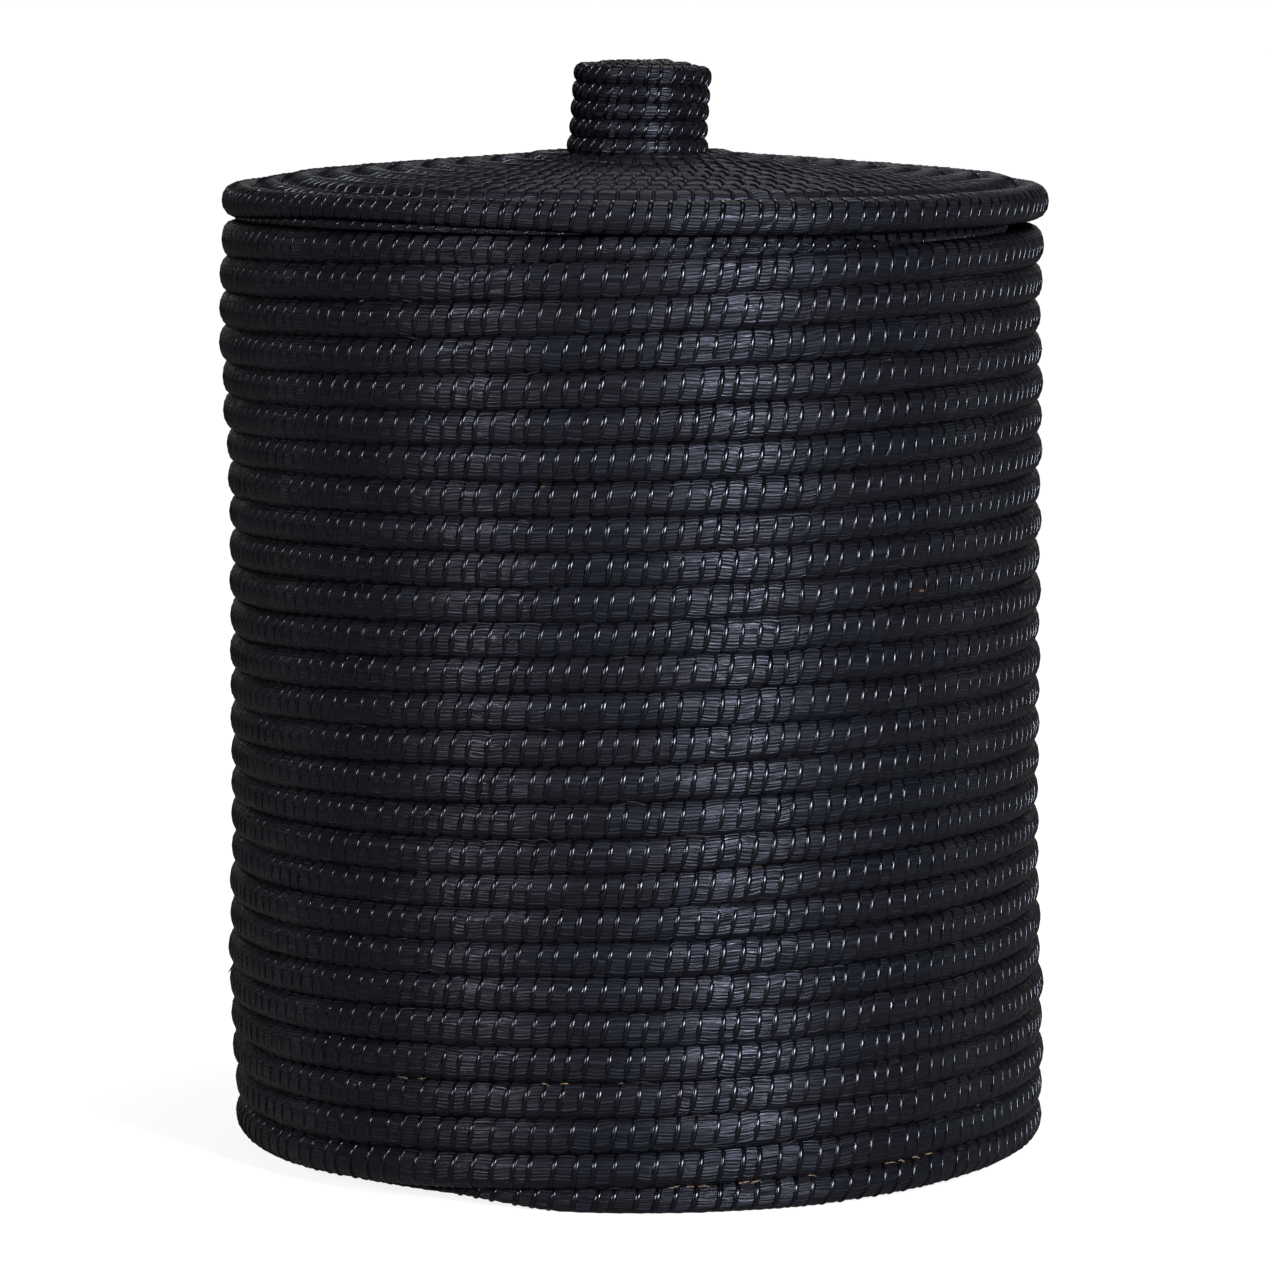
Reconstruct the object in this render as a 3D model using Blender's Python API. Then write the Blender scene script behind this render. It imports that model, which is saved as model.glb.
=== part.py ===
"""A tall lidded basket of coiled, black-dyed grass, modelled coil by coil.

Metres, +Z up, front at -Y. The origin is the middle of the base, on the ground.
Every coil winds counter-clockwise as seen from above. A coil starts as a wedge
and ends as a wedge, so that a stack of turns or a flat disc has level edges.
"""

import math

import bmesh
import bpy
import numpy as np

# Coils of the body and the lid: the body's height and its turns give their thickness
STITCH_GAP = 0.0005
SEAT_GAP = 0.0003
LOOP_POINTS = 20
KNOB_POINTS = 12
SHOULDER = 0.56

# Wall of the body: widest at the belly and at the mouth
BODY_HEIGHT = 0.4673
BODY_RADIUS = 0.2050
FOOT_TUCK = 0.0016
WAIST_TUCK = 0.0020
BELLY_HEIGHT = 0.080
WAIST_LOW = 0.180
WAIST_HIGH = 0.320
NECK_HEIGHT = 0.400
WALL_TURNS = 27

# Where the turns climb, as angles from the front, positive towards +X
CLIMB_MIDDLE = math.radians(-16)
COIL_START = math.radians(-80)
START_SHARE = 0.23
FOOT_START = math.radians(-28)
TAIL_START = math.radians(-56)
TAIL_END = math.radians(42)
TAIL_CURVE = 1.4
THINNEST = 0.12

# Base
BASE_KNOT_RADIUS = 0.0080

# Lid
RIM_OVERHANG = 0.0010
RIM_ENDS_GAP = 0.0006
DOME_STEP = 0.0026
DOME_RISE = 0.0152
DOME_CURVE = 1.15
RING_CLEARANCE = 0.0028
RING_ROWS = 2

# Knob
KNOB_RADIUS = 0.0341
KNOB_FLARE = 0.0012
KNOB_COIL = 0.0088
KNOB_ROWS = 6
KNOB_SINK = 0.0107
KNOB_LEAN = 0.0040
KNOB_CROWN = 0.0018
KNOB_KNOT_RADIUS = 0.0050
KNOB_CLIMB_MIDDLE = math.radians(180)
KNOB_START = math.radians(100)
KNOB_START_SHARE = 0.12

# Finishes: colour and roughness
BLACK_GRASS = ((0.012, 0.012, 0.014), 0.42)
WORN_GRASS = ((0.016, 0.015, 0.016), 0.50)
LID_GRASS = ((0.013, 0.013, 0.016), 0.38)
KNOB_GRASS = ((0.012, 0.012, 0.015), 0.35)

KNOB_PITCH = KNOB_COIL + STITCH_GAP

# Parts are built, guides only give the tubes their sections
for old in list(bpy.data.objects):
    bpy.data.objects.remove(old)
parts = bpy.data.collections.new("lidded_basket")
guides = bpy.data.collections.new("guides")
for group in (parts, guides):
    bpy.context.scene.collection.children.link(group)


def grass(name, finish):
    """The dyed grass of one coil."""
    colour, roughness = finish
    made = bpy.data.materials.new(name + "_grass")
    made.use_nodes = True
    shader = made.node_tree.nodes["Principled BSDF"]
    shader.inputs["Base Color"].default_value = (*colour, 1.0)
    shader.inputs["Roughness"].default_value = roughness
    shader.inputs["Metallic"].default_value = 0.0
    return made


def empty(name, parent=None):
    made = bpy.data.objects.new(name, None)
    parts.objects.link(made)
    made.parent = parent
    return made


# The shape of a climb

def climbed(angle, middle):
    """Turns climbed at an angle: steepest at the middle, level opposite it."""
    turned = angle - middle
    return (turned + math.sin(turned)) / math.tau


class Climb:
    """Where a coil starts, how thick its wedge is there, and where its turns climb."""

    def __init__(self, start, start_share, middle):
        self.start = start
        self.start_share = start_share
        self.middle = middle

    def turns(self, angle):
        return self.start_share + climbed(angle, self.middle) - climbed(self.start, self.middle)

    def angle_at(self, turns):
        """The angle at which the coil has climbed this many turns."""
        low, high = self.start, self.start + math.tau * (turns + 2)
        for _ in range(60):
            half = (low + high) / 2
            if self.turns(half) < turns:
                low = half
            else:
                high = half
        return low


ACROSS_FRONT = Climb(COIL_START, START_SHARE, CLIMB_MIDDLE)
BEHIND_KNOB = Climb(KNOB_START, KNOB_START_SHARE, KNOB_CLIMB_MIDDLE)

PITCH = (BODY_HEIGHT + STITCH_GAP) / ACROSS_FRONT.turns(math.tau * WALL_TURNS + TAIL_START)
COIL = PITCH - STITCH_GAP


def loop_angles(first, last, points=LOOP_POINTS):
    """Both ends, and between them the angles that every turn shares."""
    step = math.tau / points
    inner = [k * step for k in range(math.ceil(first / step), math.floor(last / step) + 1)]
    inner = [angle for angle in inner if first + step / 4 < angle < last - step / 4]
    return [first, *inner, last]


# Sections and tubes

def section(name, width, height, crests):
    """Cross-section of a coil, with a crest on its outer side, on its top, or on both open sides."""
    half_w, half_h = width / 2, height / 2
    shoulder_w, shoulder_h = half_w * SHOULDER, half_h * SHOULDER
    if crests == "outer side":
        corners = [(half_w, 0), (shoulder_w, -half_h), (-half_w, -half_h)]
        corners += [(-half_w, half_h), (shoulder_w, half_h)]
    elif crests == "top":
        corners = [(0, half_h), (half_w, shoulder_h), (half_w, -half_h)]
        corners += [(-half_w, -half_h), (-half_w, shoulder_h)]
    else:
        corners = [(half_w, 0), (shoulder_w, -half_h), (-shoulder_w, -half_h)]
        corners += [(-half_w, 0), (-shoulder_w, half_h), (shoulder_w, half_h)]
    outline = bpy.data.curves.new(name, "CURVE")
    outline.dimensions = "2D"
    spline = outline.splines.new("POLY")
    spline.points.add(len(corners) - 1)
    spline.use_cyclic_u = True
    for point, (x, y) in zip(spline.points, corners):
        point.co = (x, y, 0, 1)
    made = bpy.data.objects.new(name, outline)
    guides.objects.link(made)
    made.hide_render = True
    made.display_type = "WIRE"
    return made


def tube(name, route, outline, finish, parent):
    """One unbroken tube along a route of (x, y, z, share of the full thickness)."""
    curve = bpy.data.curves.new(name, "CURVE")
    curve.dimensions = "3D"
    curve.twist_mode = "Z_UP"
    curve.bevel_mode = "OBJECT"
    curve.bevel_object = outline
    curve.use_fill_caps = True
    spline = curve.splines.new("POLY")
    spline.points.add(len(route) - 1)
    for point, (x, y, z, share) in zip(spline.points, route):
        point.co = (x, y, z, 1)
        point.radius = share
    curve.materials.append(grass(name, finish))
    made = bpy.data.objects.new(name, curve)
    parts.objects.link(made)
    made.parent = parent
    return made


def on_chord(angle, points):
    """Share of the radius that keeps a point on the straight line between shared angles."""
    step = math.tau / points
    return math.cos(step / 2) / math.cos(angle % step - step / 2)


def around(angle, radius, height, share=1.0, lean=0.0, points=LOOP_POINTS):
    """A route point at an angle from the front, round an axis that may lean to +X."""
    radius *= on_chord(angle, points)
    return (radius * math.sin(angle) + lean, -radius * math.cos(angle), height, share)


def report_gap(name, route, thickness, sideways, points=LOOP_POINTS):
    """Prints the least gap between neighbouring turns, measured on the route's own points."""
    places = np.array(route)
    before, after = places[1 : -1 - points], places[1 + points : -1]
    step = after[:, :3] - before[:, :3]
    across = np.hypot(step[:, 0], step[:, 1]) if sideways else np.abs(step[:, 2])
    gap = (across - thickness * (before[:, 3] + after[:, 3]) / 2).min()
    print(f"{name}: {(len(route) - 1) / points:.1f} loops, least gap to itself {gap * 1000:.2f} mm")


# Stacks and discs: where a turn lies once it has climbed this far

def edges(turns, rows):
    """Lower and upper edge of a turn, in rows from the bottom of its stack."""
    return min(max(turns - 1, 0.0), rows), min(turns, rows)


def disc_route(inner, outer, height_at, nominal, climb=ACROSS_FRONT, points=LOOP_POINTS):
    """A flat spiral that fills the ring between two radii, and its true coil width."""
    rows = max(round((outer - inner) / nominal), 2)
    pitch = (outer - inner) / rows
    route = []
    for angle in loop_angles(climb.start, climb.angle_at(rows + 1 - climb.start_share), points):
        low, high = edges(climb.turns(angle), rows)
        radius = inner + pitch * (low + high) / 2
        share = (pitch * (high - low) - STITCH_GAP) / (pitch - STITCH_GAP)
        route.append(around(angle, radius, height_at(radius), share, points=points))
    return route, pitch - STITCH_GAP


def stack_route(rows, pitch, place, climb=ACROSS_FRONT, points=LOOP_POINTS):
    """A helix of level top and bottom; place gives the point of a height and a share."""
    route = []
    for angle in loop_angles(climb.start, climb.angle_at(rows + 1 - climb.start_share), points):
        low, high = edges(climb.turns(angle), rows)
        share = (pitch * (high - low) - STITCH_GAP) / (pitch - STITCH_GAP)
        route.append(place(angle, pitch * (low + high) / 2, share))
    return route


# Wall of the body

def blend(share):
    share = min(max(share, 0.0), 1.0)
    return share * share * (3 - 2 * share)


def wall_radius(height):
    """Outer radius of the wall at a height."""
    foot_end = PITCH
    foot = 1 - blend((height - foot_end) / (BELLY_HEIGHT - foot_end))
    above_belly = blend((height - BELLY_HEIGHT) / (WAIST_LOW - BELLY_HEIGHT))
    above_waist = blend((height - WAIST_HIGH) / (NECK_HEIGHT - WAIST_HIGH))
    return BODY_RADIUS - FOOT_TUCK * foot - WAIST_TUCK * (above_belly - above_waist)


def wall_point(angle):
    """The wall's coil: a wedge on the ground, whole turns, then the tail at the mouth."""
    low, high = edges(ACROSS_FRONT.turns(angle), WALL_TURNS + 1)
    along_tail = (angle - math.tau * WALL_TURNS - TAIL_START) / (TAIL_END - TAIL_START)
    tail = 1 - (1 - THINNEST) * max(along_tail, 0.0) ** TAIL_CURVE
    thickness = PITCH * (high - low) * tail
    height = PITCH * low + (thickness - STITCH_GAP) / 2
    return around(angle, wall_radius(height) - COIL / 2, height, (thickness - STITCH_GAP) / COIL)


def split_angle(turn):
    """Half way along a straight stretch, where one length of coil meets the next."""
    step = math.tau / LOOP_POINTS
    return (round(turn * LOOP_POINTS) + 0.5) * step


def cut_back(route):
    """The route with half a seat gap taken off its last point."""
    end, before = np.array(route[-1]), np.array(route[-2])
    back = before[:3] - end[:3]
    end[:3] += back / np.linalg.norm(back) * SEAT_GAP / 2
    return [*route[:-1], tuple(end)]


def wall_route(first, last):
    return [wall_point(angle) for angle in loop_angles(first, last)]


basket = empty("basket")

wall_section = section("wall_section", COIL, COIL, "outer side")
round_section = section("round_section", COIL, COIL, "both sides")

WALL_END = math.tau * WALL_TURNS + TAIL_END
WALL_SPLIT = split_angle(WALL_TURNS / 2)
lower = cut_back(wall_route(FOOT_START, WALL_SPLIT))
upper = cut_back(wall_route(WALL_SPLIT, WALL_END)[::-1])[::-1]
tube("lower_wall_coil", lower, wall_section, BLACK_GRASS, basket)
tube("upper_wall_coil", upper, wall_section, BLACK_GRASS, basket)
report_gap("lower wall coil", lower, COIL, sideways=False)
report_gap("upper wall coil", upper, COIL, sideways=False)


# Base: a flat spiral round a start knot, inside the foot of the wall

def flat_sag(radius, points=LOOP_POINTS):
    """How far the straight lines of a loop cut inside its radius."""
    return radius * (1 - math.cos(math.pi / points))


def knot(name, radius, low, high, finish, parent, lean=0.0):
    """The tight curl that a spiral starts from, as one small rounded plug."""
    height = high - low
    shell = bmesh.new()
    bmesh.ops.create_cone(
        shell, cap_ends=True, segments=LOOP_POINTS, radius1=radius, radius2=radius, depth=height
    )
    level = [edge for edge in shell.edges if abs(edge.verts[0].co.z - edge.verts[1].co.z) < height / 2]
    rounding = min(radius, height) / 4
    bmesh.ops.bevel(shell, geom=level, offset=rounding, segments=2, profile=0.5, affect="EDGES")
    mesh = bpy.data.meshes.new(name)
    shell.to_mesh(mesh)
    shell.free()
    mesh.shade_smooth()
    mesh.materials.append(grass(name, finish))
    made = bpy.data.objects.new(name, mesh)
    made.location = (lean, 0, (low + high) / 2)
    parts.objects.link(made)
    made.parent = parent
    return made


base_inner = BASE_KNOT_RADIUS + STITCH_GAP / 2
base_outer = wall_radius(0) - COIL
base_route, base_coil = disc_route(base_inner, base_outer, lambda radius: COIL / 2, PITCH)
base_section = section("base_section", base_coil, COIL, "both sides")
tube("base_coil", base_route, base_section, WORN_GRASS, basket)
knot("base_start_knot", BASE_KNOT_RADIUS - STITCH_GAP / 2, 0.0, COIL, WORN_GRASS, basket)
report_gap("base coil", base_route, base_coil, sideways=True)


# Lid: rim, domed top, and the ring that drops into the mouth

lid = empty("lid")
lid.location = (0, 0, BODY_HEIGHT + SEAT_GAP)

rim_outer = BODY_RADIUS + RIM_OVERHANG
rim_inner = rim_outer - COIL
seat_offset = SEAT_GAP - STITCH_GAP / 2
dome_outer = rim_inner - seat_offset
dome_inner = KNOB_RADIUS + KNOB_FLARE + seat_offset


def dome_height(radius):
    """Middle of the lid's coils above the mouth, at a radius."""
    share = (radius / dome_outer) ** DOME_CURVE
    return COIL / 2 + DOME_STEP + DOME_RISE * (1 - share)


rim_splice = split_angle(0.5)
rim_half_gap = RIM_ENDS_GAP / 2 / (rim_outer - COIL / 2)
rim_angles = loop_angles(rim_splice - math.tau + rim_half_gap, rim_splice - rim_half_gap)
rim_route = [around(angle, rim_outer - COIL / 2, COIL / 2) for angle in rim_angles]
tube("lid_rim_coil", rim_route, round_section, LID_GRASS, lid)

dome_route, dome_coil = disc_route(dome_inner, dome_outer, dome_height, PITCH)
dome_section = section("dome_section", dome_coil, COIL, "top")
tube("lid_top_coil", dome_route, dome_section, LID_GRASS, lid)
report_gap("lid top coil", dome_route, dome_coil, sideways=True)

ring_outer = BODY_RADIUS - COIL - RING_CLEARANCE
lowest_turn = dome_outer - PITCH / 2
ring_top = dome_height(lowest_turn) - COIL / 2 - SEAT_GAP


def ring_point(angle, height, share):
    return around(angle, ring_outer - COIL / 2, ring_top - RING_ROWS * PITCH + height, share)


ring_route = stack_route(RING_ROWS, PITCH, ring_point)
tube("lid_locating_coil", ring_route, wall_section, WORN_GRASS, lid)
report_gap("lid locating coil", ring_route, COIL, sideways=False)


# Knob: a small hollow stack of turns, closed by a disc inside its top

knob_bottom = dome_height(dome_inner) + COIL / 2 - KNOB_SINK
knob_height = KNOB_ROWS * KNOB_PITCH


def knob_lean(height):
    return KNOB_LEAN * max(height - KNOB_SINK, 0.0) / (knob_height - KNOB_SINK)


def knob_radius(height):
    """Outer radius of the knob, flaring where it meets the lid."""
    flare = 1 - blend((height - KNOB_SINK) / KNOB_PITCH)
    return KNOB_RADIUS + KNOB_FLARE * flare


def knob_point(angle, wound, share):
    """The knob's coil winds down from the cap to the foot."""
    height = knob_height - wound
    radius = knob_radius(height) - KNOB_COIL / 2
    return around(angle, radius, knob_bottom + height, share, knob_lean(height), KNOB_POINTS)


knob_wall_section = section("knob_wall_section", KNOB_COIL, KNOB_COIL, "outer side")
knob_route = stack_route(KNOB_ROWS, KNOB_PITCH, knob_point, BEHIND_KNOB, KNOB_POINTS)
tube("knob_wall_coil", knob_route, knob_wall_section, KNOB_GRASS, lid)
report_gap("knob wall coil", knob_route, KNOB_COIL, sideways=False, points=KNOB_POINTS)

cap_inner = KNOB_KNOT_RADIUS + STITCH_GAP / 2
cap_outer = KNOB_RADIUS - KNOB_COIL - SEAT_GAP
cap_middle = knob_bottom + knob_height - KNOB_PITCH / 2


def cap_height(radius):
    return cap_middle + KNOB_CROWN * (1 - (radius / cap_outer) ** 2)


cap_route, cap_coil = disc_route(cap_inner, cap_outer, cap_height, KNOB_PITCH, BEHIND_KNOB, KNOB_POINTS)
cap_lean = knob_lean(knob_height - KNOB_PITCH / 2)
cap_route = [(x + cap_lean, y, z, share) for x, y, z, share in cap_route]
cap_section = section("cap_section", cap_coil, KNOB_COIL, "both sides")
tube("knob_cap_coil", cap_route, cap_section, KNOB_GRASS, lid)
report_gap("knob cap coil", cap_route, cap_coil, sideways=True, points=KNOB_POINTS)
knot_low, knot_high = cap_height(0) - KNOB_COIL / 2, cap_height(0) + KNOB_COIL / 2
knot_radius = KNOB_KNOT_RADIUS - STITCH_GAP / 2
knot("knob_start_knot", knot_radius, knot_low, knot_high, KNOB_GRASS, lid, cap_lean)

print(f"lid rests at {lid.location.z * 1000:.1f} mm, ring outer radius {ring_outer * 1000:.1f} mm")
narrowest = BODY_RADIUS - WAIST_TUCK
print(f"interior radius {(narrowest - COIL - flat_sag(narrowest)) * 1000:.1f} mm")
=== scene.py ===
"""The looks of a tall lidded basket of coiled, black-dyed grass.

Every coil is a bundle of grass stems, pulled in where a binding strip passes
round it. The bundles and the strips follow the routes of the solids that they
stand for. Metres, +Z up, front at -Y. Angles are measured from the front,
positive towards +X, and a side of 0 on a coil faces away from the basket's axis.
"""

import math
from dataclasses import dataclass, replace

import bmesh
import bpy
import numpy as np
from mathutils import Matrix, Vector


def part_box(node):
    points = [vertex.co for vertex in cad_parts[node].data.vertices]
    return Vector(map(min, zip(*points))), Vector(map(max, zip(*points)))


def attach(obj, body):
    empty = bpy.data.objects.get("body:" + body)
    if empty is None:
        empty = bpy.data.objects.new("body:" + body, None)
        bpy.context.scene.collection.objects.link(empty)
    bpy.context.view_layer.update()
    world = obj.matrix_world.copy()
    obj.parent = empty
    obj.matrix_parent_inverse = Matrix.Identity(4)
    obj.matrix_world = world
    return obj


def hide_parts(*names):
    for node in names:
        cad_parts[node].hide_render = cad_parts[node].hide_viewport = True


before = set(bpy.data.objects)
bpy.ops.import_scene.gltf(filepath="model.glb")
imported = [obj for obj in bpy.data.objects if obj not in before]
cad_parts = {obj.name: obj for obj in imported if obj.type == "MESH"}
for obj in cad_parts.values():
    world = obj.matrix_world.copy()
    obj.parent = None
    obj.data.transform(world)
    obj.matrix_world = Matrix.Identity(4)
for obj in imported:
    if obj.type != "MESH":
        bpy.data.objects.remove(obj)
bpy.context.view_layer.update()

TURN = math.tau

# Sizes read from the frame
rim_low, rim_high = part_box("lid_rim_coil")
ring_low, ring_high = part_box("lid_locating_coil")
knot_low, knot_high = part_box("knob_start_knot")
base_knot_low, base_knot_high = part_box("base_start_knot")

# Coils of the body and the lid
STITCH_GAP = 0.0005
SEAT_GAP = 0.0003
COIL = rim_high.z - rim_low.z
PITCH = COIL + STITCH_GAP
MOUTH = rim_low.z - SEAT_GAP

# Wall of the body
RIM_OVERHANG = 0.0010
BODY_RADIUS = rim_high.x - RIM_OVERHANG
FOOT_TUCK = 0.0016
WAIST_TUCK = 0.0020
BELLY_HEIGHT = 0.080
WAIST_LOW = 0.180
WAIST_HIGH = 0.320
NECK_HEIGHT = 0.400
WALL_TURNS = 27
LOOP_POINTS = 20

# Where the turns climb, how the wall's coil starts on the ground, and how it ends at the mouth
CLIMB_MIDDLE = math.radians(-16)
COIL_START = math.radians(-80)
START_SHARE = 0.23
FOOT_START = math.radians(-42)
FOOT_TIP = 0.2
FOOT_GROWTH = 0.65
FOOT_INSET = 0.004
TAIL_DIP = math.radians(20)
TAIL_END = math.radians(44)
TAIL_GAP = 0.0004
THINNEST = 0.12

# How the hand-made wall strays from true: its lean to +X at some heights,
# its lift at the mouth, the curl of its foot, and how far its free rows sway
LEAN_HEIGHTS = (0.020, 0.045, 0.100, 0.330, 0.370, 0.420, 0.447, 0.467)
LEANS = (0.0020, 0.0018, 0.0000, 0.0000, -0.0008, -0.0026, -0.0018, 0.0000)
MOUTH_LIFT = 0.0012
MOUTH_LIFT_ANGLE = math.radians(62)
MOUTH_LIFT_START = 0.37
FOOT_LIFT_FRONT = 0.0018
FOOT_LIFT_RIGHT = 0.0062
FOOT_LIFT_LEFT = 0.0045
FOOT_LIFT_LEVEL = 0.05
FOOT_LIFT_FADE = 0.17
FOOT_SWELL_HEIGHT = 0.010
SWAY_OUT = 0.0006
SWAY_LENGTH = 0.9
SWAY_SEED = 11
SWAY_UP = 0.0007
FREE_ABOVE_FOOT = 0.06
FREE_BELOW_MOUTH = 0.05

# Base
BASE_KNOT_RADIUS = 0.0080

# Lid: its rim is thinner left of the front, over a thin packing coil, and the
# knob pulls up the first rows of its dome
RIM_JOIN = 0.16
RIM_THIN = 0.0050
RIM_THIN_ANGLE = math.radians(-42)
PACKING_COIL = 0.0060
PACKING_SPAN = (math.radians(-78), math.radians(-6))
PACKING_GAP = 0.0008
PACKING_INSET = 0.0042
PACKING_THINNEST = 0.0002
DOME_STEP = 0.0026
DOME_RISE = 0.0145
DOME_CURVE = 1.15
DOME_PULL = 0.0014
DOME_PULL_FRONT = 0.0034
DOME_PULL_WIDTH = 0.028
RING_ROWS = 2

# Knob
KNOB_RADIUS = 0.0341
KNOB_FLARE = 0.0012
KNOB_COIL = 0.0088
KNOB_PITCH = KNOB_COIL + STITCH_GAP
KNOB_ROWS = 6
KNOB_SINK = 0.0107
KNOB_LEAN = 0.0040
KNOB_FOOT_LEAN = 0.0010
KNOB_SETTLE = 0.0014
KNOB_SETTLE_ROW = 3.2
KNOB_SETTLE_ROWS = 1.8
KNOB_TILT = 0.0006
KNOB_CROWN = 0.0018
KNOB_KNOT_RADIUS = 0.0050
KNOB_KNOT_DROP = 0.0012
KNOB_CLIMB_MIDDLE = math.radians(180)
KNOB_START = math.radians(100)
KNOB_START_SHARE = 0.12

# Stems: a bundle presses a little into its neighbours, and each stem's ridge rises and
# fades along it, over lumps of the whole bundle
PRESSED = 1.09
STEM_WIDTH = 0.0017
STEM_CROWN = 1.0
STEM_SEAM = -0.4
STEM_FADE = 0.35
STEM_RIPPLE = 95
STEM_WAVE = 37
STEM_WAVE_HEIGHT = 0.5
LUMP_LENGTH = 0.11
LUMP_HEIGHT = 0.00025

# Binding strips: a ring of a few corners, and how the hand varies its width, rise, slant
# and spacing
STRIP_STEPS = 12
STRIP_CORNERS = 6
STRIP_CORNER_RADIUS = 0.3
STRIP_CROWDING = 0.25
STRIP_SHOULDER_WIDTH = 0.60
STRIP_SHOULDER_RISE = 0.66
STRIP_EDGE_DEPTH = 0.0002
STRIP_BACK_DEPTH = 0.0009
STRIP_WIDTHS = (0.85, 1.12)
STRIP_RISES = (0.8, 1.2)
STRIP_SLANT = 0.0005
STRIP_SCATTER = 0.13
STRIP_DRIFT = 0.05
STRIP_DRIFT_LENGTH = 1.9
FOOT_STRETCH_HEIGHT = 0.09
THINNEST_BOUND = 0.16
ROUTE_SAMPLES = 6000

# Start knots: middle, width and strip spacing as shares of the radius
KNOT_MIDDLE = 0.46
KNOT_WIDTH = 0.96
KNOT_SPACING = 0.8

# Shreds: how they lie against the coil, and how many black ones each half of the wall has
SHRED_STANDOFF = 0.0003
SHRED_TILT = 0.35
SHRED_BENDS = (-0.2, 0.5)
UNDYED_SIDE = -62.0
UNDYED_LENGTHS = (0.004, 0.009)
UNDYED_WIDTHS = (0.0010, 0.0018)
BLACK_SHREDS = 130
BLACK_SIDES = (-72, -50)
BLACK_LENGTHS = (0.006, 0.014)
BLACK_WIDTHS = (0.0006, 0.0012)


# Unevenness of handwork

def wander(places, wavelength, seed):
    """A smooth random wave along a coil, about -1 to 1, the same on every run."""
    dice = np.random.default_rng(seed)
    total = np.zeros_like(places)
    for stretch in (1.0, 0.57, 0.31):
        phase = dice.uniform(0, TURN)
        total += np.sin(TURN * places / (wavelength * stretch) + phase) * stretch
    return total / 1.9


def blend(share):
    """0 below 0, 1 above 1, smooth between them."""
    share = np.clip(share, 0, 1)
    return share * share * (3 - 2 * share)


# The shape of a climb, as in the solids

def climbed(angle, middle):
    """Turns climbed at an angle: steepest at the middle, level opposite it."""
    turned = angle - middle
    return (turned + np.sin(turned)) / TURN


class Climb:
    """Where a coil starts, how thick its wedge is there, and where its turns climb."""

    def __init__(self, start, start_share, middle):
        self.start = start
        self.start_share = start_share
        self.middle = middle

    def turns(self, angle):
        return self.start_share + climbed(angle, self.middle) - climbed(self.start, self.middle)

    def angle_at(self, turns):
        """The angle at which the coil has climbed this many turns."""
        angles = np.linspace(self.start, self.start + TURN * (turns + 2), 4000)
        return float(np.interp(turns, self.turns(angles), angles))


ACROSS_FRONT = Climb(COIL_START, START_SHARE, CLIMB_MIDDLE)
BEHIND_KNOB = Climb(KNOB_START, KNOB_START_SHARE, KNOB_CLIMB_MIDDLE)


def edges(turns, rows):
    """Lower and upper edge of a turn, in rows from the start of its stack."""
    return np.clip(turns - 1, 0, rows), np.clip(turns, 0, rows)


# Routes: radius, height, share of full thickness and lean at each angle

def wall_radius(height):
    foot = 1 - blend((height - PITCH) / (BELLY_HEIGHT - PITCH))
    above_belly = blend((height - BELLY_HEIGHT) / (WAIST_LOW - BELLY_HEIGHT))
    above_waist = blend((height - WAIST_HIGH) / (NECK_HEIGHT - WAIST_HIGH))
    return BODY_RADIUS - FOOT_TUCK * foot - WAIST_TUCK * (above_belly - above_waist)


def wall_lift(angle, height):
    """How far the top rows ride up where the tail has run out under the lid's rim."""
    toward = np.maximum(np.cos(angle - MOUTH_LIFT_ANGLE), 0)
    risen = blend((height - MOUTH_LIFT_START) / (MOUTH - MOUTH_LIFT_START))
    return MOUTH_LIFT * toward**2 * risen


def foot_lift(angle, height):
    """How far the lowest rows stand above their level: the foot curls up at both sides."""
    aside = np.sin(angle)
    right = FOOT_LIFT_RIGHT * np.maximum(aside, 0) ** 2
    left = FOOT_LIFT_LEFT * np.maximum(-aside, 0) ** 8
    swelling = np.clip(height / FOOT_SWELL_HEIGHT, 0, 1)
    front = FOOT_LIFT_FRONT * np.maximum(np.cos(angle), 0) ** 2 * swelling
    return (front + right + left) * (1 - blend((height - FOOT_LIFT_LEVEL) / FOOT_LIFT_FADE))


def wall_route(angle):
    """The wall's coil: a wedge on the ground, whole turns, then the tail at the mouth."""
    low, high = edges(ACROSS_FRONT.turns(angle), WALL_TURNS + 1)
    room = (MOUTH - TAIL_GAP - wall_lift(angle, MOUTH)) / PITCH - low
    run_out = blend((angle - TURN * WALL_TURNS - TAIL_DIP) / (TAIL_END - TAIL_DIP))
    thickness = np.minimum(high - low, room)
    thickness = thickness * (1 - run_out) + THINNEST * run_out
    bottom, top = PITCH * low, PITCH * (low + thickness)
    bottom, top = bottom + foot_lift(angle, bottom), top + foot_lift(angle, top)
    grown = blend((angle - FOOT_START) / FOOT_GROWTH)
    bottom = top - (top - bottom) * (FOOT_TIP + (1 - FOOT_TIP) * grown)
    height, thickness = (bottom + top) / 2, (top - bottom) / PITCH
    below_mouth = blend((MOUTH - height) / FREE_BELOW_MOUTH)
    free = np.minimum(blend(height / FREE_ABOVE_FOOT), below_mouth)
    sway = SWAY_OUT * wander(angle * BODY_RADIUS, SWAY_LENGTH, SWAY_SEED) * free
    radius = wall_radius(height) - COIL / 2 + sway - FOOT_INSET * (1 - grown)
    lean = np.interp(height, LEAN_HEIGHTS, LEANS)
    wave = np.sin(2 * angle + height * 31) + 0.6 * np.sin(3 * angle - height * 47 + 1.3)
    height = height + wall_lift(angle, height) + SWAY_UP * wave * free
    return radius, height, thickness, lean


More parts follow.
